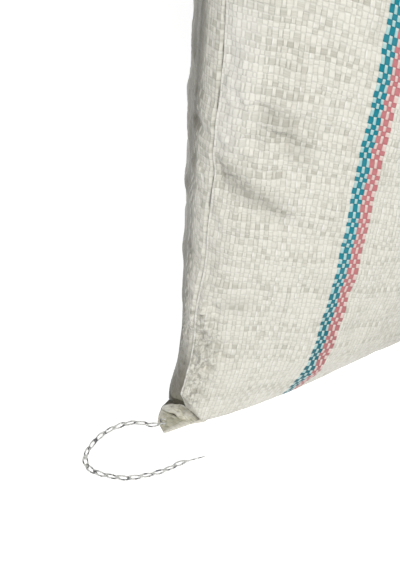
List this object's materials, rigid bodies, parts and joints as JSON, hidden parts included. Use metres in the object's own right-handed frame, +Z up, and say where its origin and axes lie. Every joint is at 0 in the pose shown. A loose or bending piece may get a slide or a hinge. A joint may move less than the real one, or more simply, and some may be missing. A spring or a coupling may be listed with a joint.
{
  "type": "rubble sack",
  "caption": "Filled rubble sack of white woven tape fabric with coloured warp stripes, standing upright, sewn flat at base and top, with a loose sewing thread.",
  "frame": {"origin": "middle of the flat base that the sack stands on, on the floor", "axes": "+Z up, X along the sewn hems, the front face towards -Y; the loose thread leaves the corner at -X"},
  "size_m": [0.5559, 0.2397, 0.66],
  "materials": {
    "woven_fabric": "satin woven polypropylene tape, warm white, with teal and pink warp stripes",
    "sewing_thread": "matt white spun thread"
  },
  "bodies": {
    "root": {"woven_sack": "woven_fabric", "top_stitching_front": "sewing_thread", "top_stitching_back": "sewing_thread", "thread_tail": "sewing_thread"}
  },
  "joints": []
}
